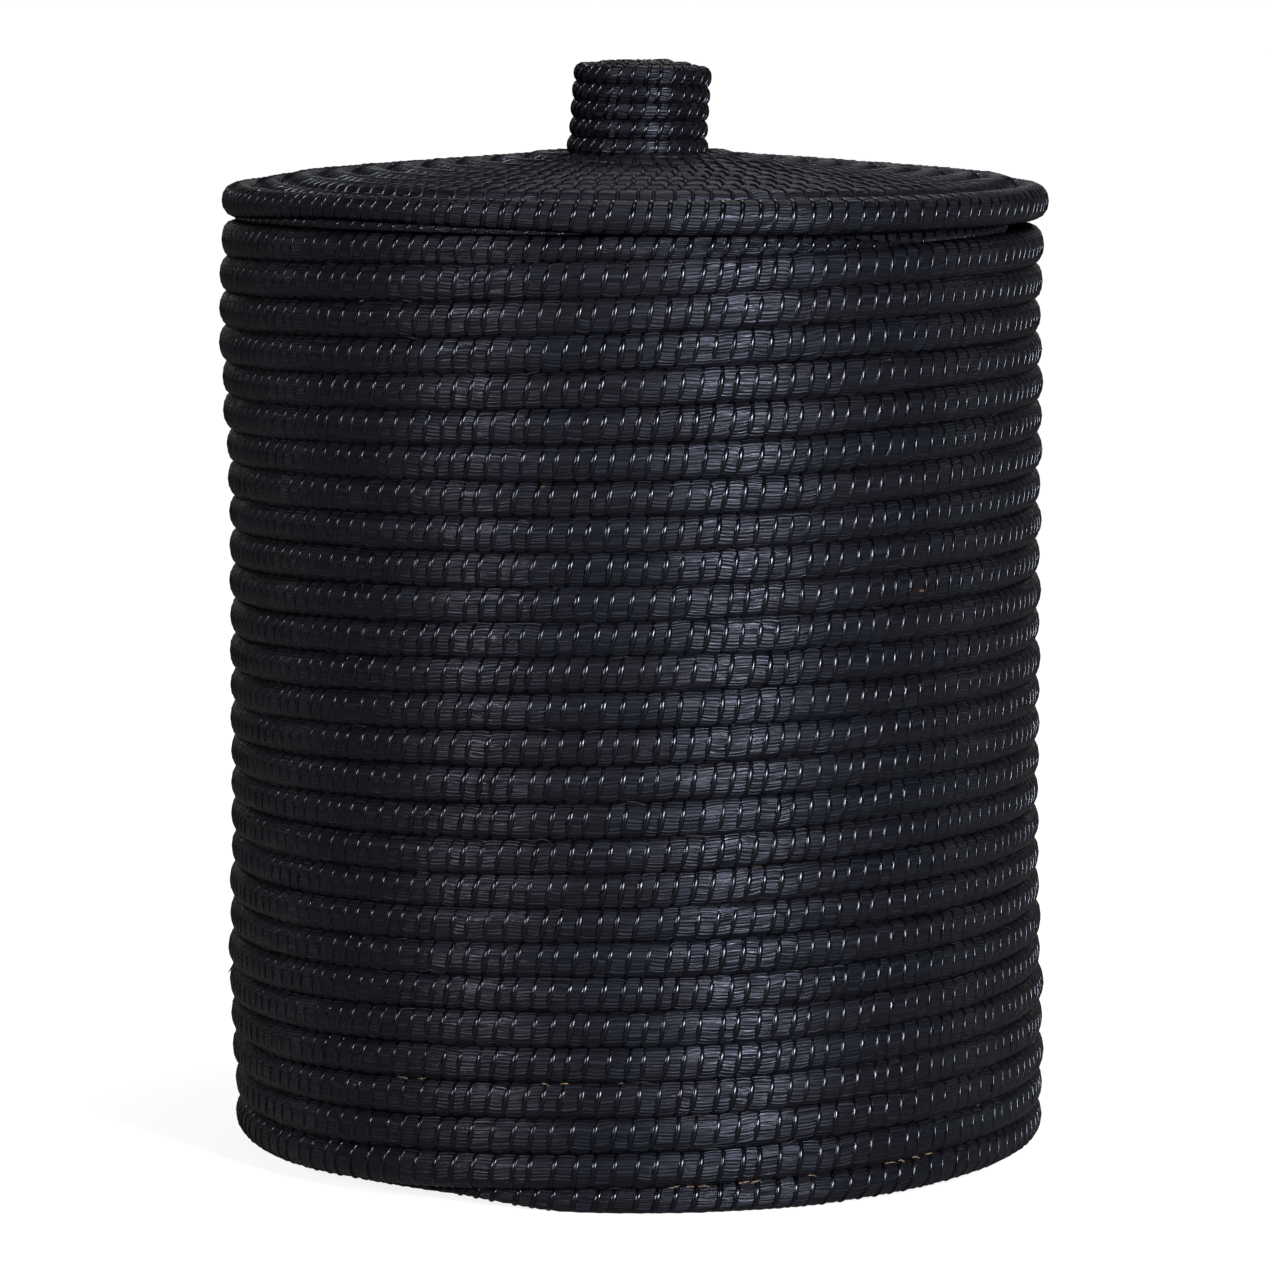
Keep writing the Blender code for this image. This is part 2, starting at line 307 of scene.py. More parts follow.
def disc_route(inner, outer, height_at, climb=ACROSS_FRONT, pitch=PITCH, lean=0.0):
    """A flat spiral that fills the ring between two radii; also its width and last angle."""
    rows = round((outer - inner) / pitch)
    width = (outer - inner) / rows

    def route(angle):
        low, high = edges(climb.turns(angle), rows)
        radius = inner + width * (low + high) / 2
        return radius, height_at(radius), high - low, lean

    return route, width, climb.angle_at(rows + 1 - climb.start_share)


# Coils: bundles of stems and the strips that bind them

@dataclass(frozen=True)
class Binding:
    """How strips bind a coil and how its bundle shows between them.

    Sides are in degrees. A squareness of 2 is a round section, and more is squarer.
    """

    spacing: float = 0.0090
    foot_stretch: float = 0.0
    width: float = 0.0030
    rise: float = 0.0005
    lean: float = 0.0024
    open_sides: tuple = (-100, 100)
    open_steps: int = 26
    hidden_steps: int = 12
    squareness: float = 2.8
    strip_squareness: float = 2.2
    foot_squareness: float = 2.8
    pinch: float = 0.0004
    swell: float = 0.0002
    ridge: float = 0.00016


class Coil:
    """One coil: where it runs, how thick it is, and where its strips pass round it."""

    def __init__(self, body, node, route, span, width, height, binding, seed, floor=-1.0):
        self.body = body
        self.node = node
        self.route = route
        self.first, self.last = span
        self.width = width
        self.height = height
        self.binding = binding
        self.seed = seed
        self.floor = floor
        self.lay_strips()

    def at(self, angle):
        """Middle of the coil at an angle: radius, height, share of full thickness and lean."""
        return np.broadcast_arrays(*self.route(angle))

    def lay_strips(self):
        """Spaces the strips along the coil, a little unevenly."""
        dice = np.random.default_rng(self.seed)
        angles = np.linspace(self.first, self.last, ROUTE_SAMPLES)
        radius, height = self.at(angles)[:2]
        radius = radius + self.width / 2
        steps = np.diff(angles) * (radius[1:] + radius[:-1]) / 2
        along = np.concatenate([[0], np.cumsum(steps)])
        stretch = 1 + STRIP_DRIFT * wander(along, STRIP_DRIFT_LENGTH, self.seed + 2)
        near_foot = 1 - blend(height / FOOT_STRETCH_HEIGHT)
        stretch = stretch + self.binding.foot_stretch * near_foot
        strips = np.concatenate([[0], np.cumsum(steps / self.binding.spacing / stretch[1:])])
        count = int(strips[-1])
        numbers = (np.arange(count) + 0.5) * strips[-1] / count
        numbers += dice.uniform(-STRIP_SCATTER, STRIP_SCATTER, count)
        self.strips = np.interp(numbers, strips, angles)
        self.angles, self.along = angles, along

    def place(self, angle, side, out, fill=1.0, squareness=None):
        """Points on the coil, out from its surface, at a side round it."""
        radius = self.at(angle)[0] + self.width / 2
        binding = self.binding
        upper, lower = np.maximum(np.sin(side), 0), np.maximum(-np.sin(side), 0)
        shift = binding.lean * (0.8 * upper - lower**1.4)
        turned = np.clip(angle + shift / radius, self.first, self.last)
        radius, height, share, lean = self.at(turned)
        raised = blend((height - 0.012) / 0.02)
        squareness = binding.squareness if squareness is None else squareness
        power = binding.foot_squareness + (squareness - binding.foot_squareness) * raised
        reach = (np.abs(np.cos(side)) ** power + np.abs(np.sin(side)) ** power) ** (-1 / power)
        share = np.maximum(share, 0.02) * fill
        across = (self.width / 2 * share * reach + out * fill) * np.cos(side)
        upward = (self.height / 2 * share * reach + out * fill) * np.sin(side)
        x = (radius + across) * np.sin(turned) + lean
        y = -(radius + across) * np.cos(turned)
        z = np.maximum(height + upward, self.floor)
        return np.stack([x, y, z], axis=-1)

    def ring_angles(self, first, last):
        """Rings of a bundle, at each strip and half way between strips, with their numbers."""
        numbers = np.flatnonzero((self.strips > first) & (self.strips < last))
        strips = self.strips[numbers]
        middles = (strips[1:] + strips[:-1]) / 2
        rings = np.concatenate([strips, middles])
        numbers = np.concatenate([numbers, numbers[:-1] + 0.5])
        order = np.argsort(rings)
        rings, numbers = rings[order], numbers[order]
        rings = np.concatenate([[first, first], rings, [last, last]])
        numbers = np.concatenate([numbers[[0, 0]] - 1, numbers, numbers[[-1, -1]] + 1])
        return rings, numbers

    def sides(self):
        """Angles round the section, closer together on its open side."""
        low, high = np.radians(self.binding.open_sides)
        open_part = np.linspace(low, high, self.binding.open_steps + 1)
        hidden = np.linspace(high, low + TURN, self.binding.hidden_steps + 1)[1:]
        return np.concatenate([open_part, hidden])


def finished(mesh, name, finish, body, node):
    """An object at the origin with its finish, riding on its body and standing for its solid."""
    mesh.shade_smooth()
    mesh.materials.append(finish)
    made = bpy.data.objects.new(name, mesh)
    bpy.context.scene.collection.objects.link(made)
    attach(made, body)
    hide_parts(node)


def vertex_places(mesh):
    """Where a mesh's vertices are, a row for each."""
    flat = np.empty(len(mesh.vertices) * 3)
    mesh.vertices.foreach_get("co", flat)
    return flat.reshape(-1, 3)


def map_vertices(mesh, name, numbers):
    """A UV map from two numbers at each vertex."""
    corners = np.empty(len(mesh.loops), int)
    mesh.loops.foreach_get("vertex_index", corners)
    layer = mesh.uv_layers.new(name=name)
    layer.data.foreach_set("uv", np.stack(numbers, axis=-1)[corners].ravel())


def copied(pattern, count):
    """One mesh that holds this many copies of the pattern, one after the other."""
    holder = bpy.data.objects.new("pattern", pattern)
    bpy.context.scene.collection.objects.link(holder)
    copies = holder.modifiers.new("copies", "ARRAY")
    copies.count = count
    copies.use_relative_offset = False
    seen = bpy.context.evaluated_depsgraph_get()
    mesh = bpy.data.meshes.new_from_object(holder.evaluated_get(seen))
    bpy.data.objects.remove(holder)
    return mesh


def bundle(coil, name, finish, first, last):
    """The stems of a coil: one closed skin with a ridge for each stem."""
    rings, numbers = coil.ring_angles(first, last)
    sides = coil.sides()
    last_ring, last_stem = len(rings) - 1, len(sides) - 1
    skin = bmesh.new()
    bmesh.ops.create_grid(skin, x_segments=last_ring, y_segments=last_stem, size=0.5)
    mesh = bpy.data.meshes.new(name)
    skin.to_mesh(mesh)
    flat = vertex_places(mesh)
    ring = np.rint((flat[:, 0] + 0.5) * last_ring).astype(int)
    stem = np.rint((flat[:, 1] + 0.5) * last_stem).astype(int)
    angle, side = rings[ring], sides[stem]
    length = np.interp(angle, coil.angles, coil.along)
    dice = np.random.default_rng(coil.seed + 5)
    phases = dice.uniform(0, TURN, last_stem + 1)
    phases[last_stem] = phases[0]
    lift = np.where(stem % 2 == 0, STEM_CROWN, STEM_SEAM)
    lift *= 1 - STEM_FADE + STEM_FADE * np.sin(length * STEM_RIPPLE + phases[stem])
    lift += STEM_WAVE_HEIGHT * np.sin(length * STEM_WAVE + 2 * phases[stem])
    uneven = wander(length, LUMP_LENGTH, coil.seed + 9) * LUMP_HEIGHT
    pulled = numbers[ring] % 1 == 0
    out = coil.binding.ridge * lift + uneven
    out += np.where(pulled, -coil.binding.pinch, coil.binding.swell)
    closed = (ring == 0) | (ring == last_ring)
    points = coil.place(angle, side, out, np.where(closed, 0.0, 1.0))
    mesh.vertices.foreach_set("co", points.ravel())
    girth = (coil.width + coil.height) * math.pi / 2
    map_vertices(mesh, "coil", [length, (side - sides[0]) / TURN * girth])
    map_vertices(mesh, "strip", [numbers[ring], side])
    skin.clear()
    skin.from_mesh(mesh)
    bmesh.ops.remove_doubles(skin, verts=skin.verts, dist=1e-6)
    skin.to_mesh(mesh)
    skin.free()
    finished(mesh, name, finish, coil.body, coil.node)


def strip_pattern():
    """One binding strip as a plain ring of six corners, a corner out, on a circle of radius 1."""
    ring = bmesh.new()
    quarter_turn = Matrix.Rotation(math.pi / 2, 3, "Z")
    bmesh.ops.create_circle(
        ring, cap_ends=False, segments=STRIP_CORNERS, radius=STRIP_CORNER_RADIUS
    )
    bmesh.ops.rotate(ring, verts=ring.verts, cent=(0, 0, 0), matrix=quarter_turn)
    bmesh.ops.translate(ring, verts=ring.verts, vec=(1, 0, 0))
    bmesh.ops.spin(
        ring, geom=ring.verts[:] + ring.edges[:], cent=(0, 0, 0), axis=(0, 1, 0),
        angle=TURN, steps=STRIP_STEPS, use_merge=True,
    )
    bmesh.ops.recalc_face_normals(ring, faces=ring.faces)
    mesh = bpy.data.meshes.new("strip_pattern")
    ring.to_mesh(mesh)
    ring.free()
    return mesh


def strips(coil, name, finish, slot, first, last):
    """The binding strips of a coil: closed rings of half-round leaf that lean round it."""
    angles = coil.strips[(coil.strips >= first) & (coil.strips < last)]
    angles = angles[coil.at(angles)[2] > THINNEST_BOUND]
    count = len(angles)
    pattern = strip_pattern()
    one = len(pattern.vertices)
    mesh = copied(pattern, count)
    mesh.name = name

    flat = vertex_places(mesh)[:one]
    turned = np.arctan2(flat[:, 2], flat[:, 0])
    round_coil = turned - STRIP_CROWDING * np.sin(turned)
    from_middle = np.hypot(flat[:, 0], flat[:, 2]) - 1
    crest, shoulder, underside = from_middle > 0.25, from_middle > 0, from_middle < -0.25
    across = np.sign(np.round(flat[:, 1], 4)) * np.where(shoulder, STRIP_SHOULDER_WIDTH, 1.0)

    dice = np.random.default_rng(coil.seed + 3)
    binding = coil.binding
    widths = binding.width * dice.uniform(*STRIP_WIDTHS, count)
    rises = binding.rise * dice.uniform(*STRIP_RISES, count)
    slants = dice.uniform(-STRIP_SLANT, STRIP_SLANT, count)
    side = np.broadcast_to(round_coil, (count, one))
    radius = (coil.at(angles)[0] + coil.width / 2)[:, None]
    shift = widths[:, None] / 2 * across + slants[:, None] * np.sin(side)
    back, side_edge = -binding.pinch - STRIP_BACK_DEPTH, binding.swell - STRIP_EDGE_DEPTH
    edge = np.where(underside, back, side_edge)
    lifted = np.where(crest, 1.0, STRIP_SHOULDER_RISE) * rises[:, None]
    out = np.where(shoulder, binding.swell + lifted, edge)
    roundness = min(binding.strip_squareness, binding.squareness)
    points = coil.place(angles[:, None] + shift / radius, side, out, squareness=roundness)
    mesh.vertices.foreach_set("co", points.ravel())
    number = np.arange(count)[:, None] + 0.5 + 0.4 * across
    map_vertices(mesh, "strip", [number.ravel(), np.tile(round_coil / TURN + 0.5, count)])
    finished(mesh, name, finish, coil.body, coil.node)


def dress(coil, name, stems, leaf, slot, first=None, last=None):
    """Both pieces of a coil, or of a length of it; the name has a place for each one's kind."""
    first = coil.first if first is None else first
    last = coil.last if last is None else last
    bundle(coil, name.format("stems"), stems, first, last)
    strips(coil, name.format("strips"), leaf, slot, first, last)


def slivers(coil, name, finish, angles, sides, lengths, widths, seed):
    """Loose ends of grass and shreds of leaf, caught at the sides of a coil."""
    count = len(angles)
    spindle = bmesh.new()
    bmesh.ops.create_uvsphere(spindle, u_segments=5, v_segments=6, radius=1)
    pattern = bpy.data.meshes.new("sliver_pattern")
    spindle.to_mesh(pattern)
    spindle.free()
    one = len(pattern.vertices)
    mesh = copied(pattern, count)
    mesh.name = name
    flat = vertex_places(mesh)[:one]

    dice = np.random.default_rng(seed)
    middle = coil.place(angles, sides, SHRED_STANDOFF)
    ahead = coil.place(angles + 0.01, sides, SHRED_STANDOFF) - middle
    outward = coil.place(angles, sides, SHRED_STANDOFF + 0.001) - middle
    ahead /= np.linalg.norm(ahead, axis=-1, keepdims=True)
    outward /= np.linalg.norm(outward, axis=-1, keepdims=True)
    upward = np.cross(outward, ahead)
    rise = dice.uniform(-SHRED_TILT, SHRED_TILT, count)[:, None]
    along = ahead * np.cos(rise) + upward * np.sin(rise)
    beside = np.cross(along, outward)
    bend = dice.uniform(*SHRED_BENDS, count)[:, None] * lengths[:, None]
    moves = (
        (along, flat[:, 2] * lengths[:, None] / 2),
        (beside, flat[:, 0] * widths[:, None] / 2),
        (outward, flat[:, 1] * widths[:, None] / 4),
        (outward, bend * flat[:, 2] ** 2 * (flat[:, 2] > 0)),
    )
    points = middle[:, None, :]
    for direction, distance in moves:
        points = points + direction[:, None, :] * distance[..., None]
    mesh.vertices.foreach_set("co", points.ravel())
    finished(mesh, name, finish, coil.body, coil.node)


# Materials

VIOLET = (0.0034, 0.0026, 0.0041)
BLUE = (0.0024, 0.0030, 0.0051)
WORN_WARM = (0.0080, 0.0072, 0.0070)
WORN_COOL = (0.0085, 0.0092, 0.0115)
# Painted shade: the dark colour given to the crevices between stems
PAINTED_SEAM_SHADE = (0.0016, 0.0016, 0.0020)
FLECK = (0.11, 0.060, 0.032)
PALER = 2.2
STEM_SHEEN = (0.70, 0.76, 1.0)
LEAF_SHEEN = (0.74, 0.80, 1.0)
BLACK_LEAF = ((0.0004, 0.0003, 0.0007), (0.0012, 0.0010, 0.0018))
LID_LEAF = ((0.0006, 0.0005, 0.0009), (0.0016, 0.0014, 0.0022))
WORN_LEAF = ((0.0034, 0.0031, 0.0036), (0.0066, 0.0062, 0.0070))
BLACK_SHRED = ((0.0035, 0.0034, 0.0038), (0.014, 0.014, 0.016))
UNDYED_SHRED = ((0.060, 0.032, 0.016), (0.26, 0.19, 0.13))


class Number:
    """A number that varies over a surface. Python's operators add the Math nodes."""

    def __init__(self, finish, socket):
        self.finish = finish
        self.socket = socket

    def math(self, operation, *others):
        values = {place: value for place, value in enumerate((self, *others))}
        return self.finish.number("ShaderNodeMath", {"operation": operation}, values)

    def __add__(self, other):
        return self.math("ADD", other)

    def __radd__(self, other):
        return self.math("ADD", other)

    def __sub__(self, other):
        return self.math("SUBTRACT", other)

    def __rsub__(self, other):
        return self.finish.number("ShaderNodeMath", {"operation": "SUBTRACT"}, {0: other, 1: self})

    def __mul__(self, other):
        return self.math("MULTIPLY", other)

    def __rmul__(self, other):
        return self.math("MULTIPLY", other)

    def __truediv__(self, other):
        return self.math("DIVIDE", other)

    def __pow__(self, other):
        return self.math("POWER", other)

    def between(self, low, high):
        """0 below low, 1 above high, smooth between them."""
        ends = {"From Min": low, "From Max": high, "Value": self}
        return self.finish.number("ShaderNodeMapRange", {"interpolation_type": "SMOOTHSTEP"}, ends)


class Finish:
    """A material and the nodes that make its pattern."""

    def __init__(self, name):
        self.material = bpy.data.materials.new(name)
        self.material.use_nodes = True
        self.tree = self.material.node_tree
        self.shader = self.tree.nodes["Principled BSDF"]

    def node(self, kind, settings, sockets):
        """A node with its settings, then the values or links of its sockets."""
        made = self.tree.nodes.new(kind)
        for name, value in settings.items():
            setattr(made, name, value)
        for place, value in sockets.items():
            self.fill(made.inputs[place], value)
        return made

    def fill(self, socket, value):
        """Links a socket to what varies, or sets it to what doesn't."""
        if isinstance(value, Number):
            value = value.socket
        if isinstance(value, bpy.types.NodeSocket):
            self.tree.links.new(value, socket)
        else:
            socket.default_value = value

    def number(self, kind, settings, sockets, output=0):
        """One output of a node, ready for arithmetic."""
        return Number(self, self.node(kind, settings, sockets).outputs[output])

    def map_numbers(self, name):
        """Both numbers of a UV map."""
        place = self.node("ShaderNodeUVMap", {"uv_map": name}, {}).outputs["UV"]
        parts = self.node("ShaderNodeSeparateXYZ", {}, {"Vector": place})
        return Number(self, parts.outputs["X"]), Number(self, parts.outputs["Y"])

    def vector(self, x, y, z=0.0):
        return self.node("ShaderNodeCombineXYZ", {}, {"X": x, "Y": y, "Z": z}).outputs[0]

    def noise(self, place, scale, detail=2.0, roughness=0.5):
        sockets = {"Vector": place, "Scale": scale, "Detail": detail, "Roughness": roughness}
        return self.number("ShaderNodeTexNoise", {"noise_dimensions": "3D"}, sockets)

    def chance(self, place):
        """A random number, 0 to 1, that stays the same at a place."""
        return self.number("ShaderNodeTexWhiteNoise", {"noise_dimensions": "3D"}, {"Vector": place})

    def mix(self, share, first, second):
        settings = {"data_type": "RGBA", "blend_type": "MIX"}
        made = self.node("ShaderNodeMix", settings, {0: share, 6: first, 7: second})
        return made.outputs[2]

    def bump(self, height, strength, distance):
        sockets = {"Height": height, "Strength": strength, "Distance": distance}
        return self.node("ShaderNodeBump", {}, sockets).outputs[0]

    def set(self, **sockets):
        """Sets the shader's sockets by name, with _ for a space."""
        for name, value in sockets.items():
            self.fill(self.shader.inputs[name.replace("_", " ")], value)

    def object_place(self):
        return self.node("ShaderNodeTexCoord", {}, {}).outputs["Object"]


def stem_finish(name, warm, cool, roughness, flecks):
    """Dyed grass stems lying side by side, with a satin sheen along them."""
    grass = Finish(name)
    along, around = grass.map_numbers("coil")
    number = grass.map_numbers("strip")[0]
    cell = number.math("FLOOR")
    between = number - cell
    slope = grass.chance(grass.vector(cell, 7.5)) - 0.5
    wobble = grass.noise(grass.vector(along * 40, around * 70), 1.0, 1.0)
    stem = around / STEM_WIDTH + wobble + slope * (between - 0.5) * 1.2
    stem_number = stem.math("FLOOR")
    crown = (stem * math.pi).math("SINE").math("ABSOLUTE")
    lengths = grass.noise(grass.vector(along * 34, stem * 0.9), 1.0, 2.0)
    fine = grass.noise(grass.vector(along * 30, stem * 2.6), 1.0, 2.0)
    shade = grass.chance(grass.vector(stem_number, cell))
    stretch = grass.noise(grass.vector(along * 5, around * 20), 1.0, 2.0)
    lot = grass.chance(grass.vector(cell, 2.5))
    tint = (stretch * 0.9 + lot * 0.1).between(0.40, 0.62)
    colour = grass.mix(tint, (*warm, 1), (*cool, 1))
    pale = tuple(PALER * part for part in cool)
    colour = grass.mix((lengths * shade).between(0.30, 0.60), colour, (*pale, 1))
    # Painted shade: the colour darkens to the seam shade in the crevices between the stems' crowns
    clear_of_seam_shade = crown.between(0.02, 0.40)
    colour = grass.mix(clear_of_seam_shade, (*PAINTED_SEAM_SHADE, 1), colour)
    place = grass.object_place()
    specks = grass.noise(grass.vector(along * 70, stem * 0.5), 1.0, 1.0)
    rare = specks.between(0.78, 0.80) * grass.noise(place, 23.0, 1.0).between(0.56, 0.6)
    colour = grass.mix(rare * flecks, colour, (*FLECK, 1))
    height = crown**0.7 * (0.15 + 0.8 * shade) + shade * 0.3 + lengths * 0.2 + fine * 1.2
    grass.set(
        Base_Color=colour,
        Roughness=roughness + shade * 0.20 + lengths * 0.10 - 0.15 + (1 - clear_of_seam_shade) * 0.2,
        Normal=grass.bump(height, 1.0, 0.0005),
        Specular_IOR_Level=0.34,
        Specular_Tint=(*STEM_SHEEN, 1.0),
    )
    return grass.material


def strip_finish(name, dark, light, roughness):
    """Split leaf, dyed with the grass: smooth, a little ridged along its length."""
    leaf = Finish(name)
    across, around = leaf.map_numbers("strip")
    number = across.math("FLOOR")
    over = across - number
    shade = leaf.chance(leaf.vector(number, 0.5))
    other = leaf.chance(leaf.vector(number, 3.5))
    fibres = leaf.noise(leaf.vector(over * 9 + number * 3, around * 9), 1.0, 2.0)
    colour = leaf.mix(shade * 0.6 + fibres * 0.4, (*dark, 1), (*light, 1))
    leaf.set(
        Base_Color=colour,
        Roughness=roughness + other * 0.08 + fibres * 0.06 - 0.06,
        Normal=leaf.bump(fibres, 0.2, 0.00005),
        Specular_IOR_Level=0.46,
        Specular_Tint=(*LEAF_SHEEN, 1.0),
    )
    return leaf.material


def shred_finish(name, colour, pale, roughness):
    """Torn ends of grass."""
    shred = Finish(name)
    streaks = shred.noise(shred.object_place(), 900.0, 2.0)
    shred.set(
        Base_Color=shred.mix(streaks.between(0.35, 0.65), (*colour, 1), (*pale, 1)),
        Roughness=roughness + streaks * 0.2,
        Normal=shred.bump(streaks, 0.4, 0.0003),
    )
    return shred.material


stems_wall = stem_finish("black_grass_stems", VIOLET, BLUE, roughness=0.36, flecks=1.0)
stems_lid = stem_finish("lid_grass_stems", VIOLET, BLUE, roughness=0.38, flecks=0.6)
stems_knob = stem_finish("knob_grass_stems", VIOLET, BLUE, roughness=0.33, flecks=0.5)
stems_worn = stem_finish("worn_grass_stems", WORN_WARM, WORN_COOL, roughness=0.46, flecks=1.0)
strips_black = strip_finish("black_binding_leaf", *BLACK_LEAF, roughness=0.22)
strips_lid = strip_finish("lid_binding_leaf", *LID_LEAF, roughness=0.34)
strips_worn = strip_finish("worn_binding_leaf", *WORN_LEAF, roughness=0.30)
shreds_black = shred_finish("black_shreds", *BLACK_SHRED, roughness=0.40)
shreds_undyed = shred_finish("undyed_shreds", *UNDYED_SHRED, roughness=0.60)


# The wall, spliced where its two solids meet, and in four lengths so that each stays light enough

wall_end = TURN * WALL_TURNS + TAIL_END
wall_split = (round(WALL_TURNS / 2 * LOOP_POINTS) + 0.5) * (TURN / LOOP_POINTS)
wall_binding = Binding(foot_squareness=2.1, foot_stretch=0.15)


def wall_coil(node):
    return Coil(
        "basket", node, wall_route, (FOOT_START, wall_end), COIL, PITCH * PRESSED, wall_binding,
        seed=21, floor=0.0002,
    )


lower_wall = wall_coil("lower_wall_coil")
upper_wall = wall_coil("upper_wall_coil")
lower_middle = (FOOT_START + wall_split) / 2
upper_middle = (wall_split + wall_end) / 2
wall_lengths = (
    (lower_wall, "lowest", FOOT_START, lower_middle),
    (lower_wall, "low", lower_middle, wall_split),
    (upper_wall, "high", wall_split, upper_middle),
    (upper_wall, "highest", upper_middle, wall_end),
)
for wall, level, first, last in wall_lengths:
    dress(wall, "wall_{}_" + level, stems_wall, strips_black, "black_grass", first, last)


# Shreds in the wall's grooves: black ones anywhere, undyed ones at listed spots

# Where undyed shreds show: degrees round from the front, and height
UNDYED_SPOTS = (
    (-33.4, 0.057), (-30.6, 0.058), (-12.2, 0.062), (-9.0, 0.063), (-2.0, 0.0645), (1.2, 0.0645),
    (4.7, 0.0645), (12.6, 0.0645), (37.9, 0.015), (40.1, 0.0147), (43.0, 0.014), (45.6, 0.0132),
    (5.4, 0.0145), (7.6, 0.0143), (9.5, 0.0141), (15.0, 0.0147), (16.9, 0.0149), (25.2, 0.0148),
    (42.5, 0.0515), (56.5, 0.039), (-39.4, 0.451), (131.0, 0.120), (158.0, 0.300), (214.0, 0.210),
)


def groove_angle(degrees, height):
    """The angle at which the wall's groove nearest to a height passes this side of the basket."""
    angles = math.radians(degrees) + TURN * np.arange(WALL_TURNS)
    lows = PITCH * edges(ACROSS_FRONT.turns(angles), WALL_TURNS + 1)[0]
    return float(angles[np.argmin(np.abs(lows - height))])


spot_angles = np.array([groove_angle(degrees, height) for degrees, height in UNDYED_SPOTS])


def undyed_shreds(coil, name, angles, seed):
    """Undyed shreds at listed places in the grooves."""
    dice = np.random.default_rng(seed)
    sides = np.radians(UNDYED_SIDE)
    lengths = dice.uniform(*UNDYED_LENGTHS, len(angles))
    widths = dice.uniform(*UNDYED_WIDTHS, len(angles))
    slivers(coil, name, shreds_undyed, angles, sides, lengths, widths, seed + 1)


def black_shreds(coil, name, first, last, seed):
    """Black shreds at random places in the grooves."""
    dice = np.random.default_rng(seed)
    angles = dice.uniform(first, last, BLACK_SHREDS)
    sides = np.radians(dice.uniform(*BLACK_SIDES, BLACK_SHREDS))
    lengths = dice.uniform(*BLACK_LENGTHS, BLACK_SHREDS)
    widths = dice.uniform(*BLACK_WIDTHS, BLACK_SHREDS)
    slivers(coil, name, shreds_black, angles, sides, lengths, widths, seed + 1)


undyed_shreds(lower_wall, "wall_undyed_shreds_low", spot_angles[spot_angles < wall_split], 101)
undyed_shreds(upper_wall, "wall_undyed_shreds_high", spot_angles[spot_angles > wall_split], 105)
black_shreds(lower_wall, "wall_shreds_low", FOOT_START + TURN, wall_split, 111)
black_shreds(upper_wall, "wall_shreds_high", wall_split, TURN * WALL_TURNS, 121)


# The base

base_inner = BASE_KNOT_RADIUS + STITCH_GAP / 2
base_outer = wall_radius(0.0) - COIL
flat_route, base_width, base_last = disc_route(base_inner, base_outer, lambda radius: COIL / 2)


def base_route(angle):
    """A flat spiral whose outermost rows curl up with the wall's foot."""
    radius, height, share, lean = flat_route(angle)
    return radius, height + foot_lift(angle, 0) * (radius / base_outer) ** 6, share, lean


base_binding = Binding(lean=0.0012, open_sides=(-175, -5), open_steps=16, hidden_steps=16)
base = Coil(
    "basket", "base_coil", base_route, (COIL_START, base_last), base_width * PRESSED, COIL,
    base_binding, seed=31, floor=0.0,
)
dress(base, "base_{}", stems_worn, strips_worn, "worn_black_grass")


# The lid: rim, domed top, and the ring that drops into the mouth

rim_outer = rim_high.x
rim_inner = rim_outer - COIL
seat_offset = SEAT_GAP - STITCH_GAP / 2
dome_outer = rim_inner - seat_offset
dome_inner = KNOB_RADIUS + KNOB_FLARE + seat_offset


def dome_height(radius):
    """Height of the dome's coil at a radius."""
    share = (radius / dome_outer) ** DOME_CURVE
    return rim_low.z + COIL / 2 + DOME_STEP + DOME_RISE * (1 - share)


def rim_thinned(angle):
    """How much thinner the rim is at an angle."""
    return RIM_THIN * np.maximum(np.cos(angle - RIM_THIN_ANGLE), 0) ** 6


def rim_route(angle):
    """The rim's coil, thinner from below at the left of the front."""
    thinned = rim_thinned(angle)
    return rim_outer - COIL / 2, rim_low.z + (COIL + thinned) / 2, 1 - thinned / COIL, 0.0


rim_binding = Binding(open_sides=(-110, 130), open_steps=30, hidden_steps=10, squareness=2.4)
rim_span = (RIM_JOIN - math.pi, RIM_JOIN + math.pi)
rim = Coil("lid", "lid_rim_coil", rim_route, rim_span, COIL, COIL, rim_binding, seed=41)
dress(rim, "lid_rim_{}", stems_lid, strips_black, "lid_black_grass")


def packing_route(angle):
    """A thin coil under the rim that fills the room where the rim is thinner."""
    bottom = rim_low.z + PACKING_GAP
    thickness = np.maximum(rim_thinned(angle) - PACKING_GAP, PACKING_THINNEST)
    return rim_outer - PACKING_INSET, bottom + thickness / 2, thickness / PACKING_COIL, 0.0


packing_binding = Binding(
    lean=0.0005, rise=0.0004, open_steps=12, hidden_steps=6, squareness=2.2, swell=0.0,
    pinch=0.0002, ridge=0.0,
)
packing = Coil(
    "lid", "lid_rim_coil", packing_route, PACKING_SPAN, PACKING_COIL, PACKING_COIL,
    packing_binding, seed=45,
)
dress(packing, "lid_packing_{}", stems_lid, strips_black, "lid_black_grass")

domed_route, dome_width, dome_last = disc_route(dome_inner, dome_outer, dome_height)


def dome_route(angle):
    """The lid's spiral, with its first rows pulled up by the knob, most of all at the front."""
    radius, height, share, lean = domed_route(angle)
    pulled = DOME_PULL + DOME_PULL_FRONT * np.maximum(np.cos(angle), 0) ** 2
    near_knob = 1 - blend((radius - dome_inner) / DOME_PULL_WIDTH)
    return radius, height + pulled * near_knob, share, lean


dome_binding = Binding(
    width=0.0022, rise=0.0010, lean=0.0014, open_sides=(-10, 190), open_steps=26, hidden_steps=14,
    squareness=3.2, strip_squareness=2.9,
)
dome = Coil(
    "lid", "lid_top_coil", dome_route, (COIL_START, dome_last), dome_width * PRESSED, COIL,
    dome_binding, seed=51,
)
dress(dome, "lid_top_{}", stems_lid, strips_lid, "lid_black_grass")

ring_outer = ring_high.x
ring_last = ACROSS_FRONT.angle_at(RING_ROWS + 1 - START_SHARE)


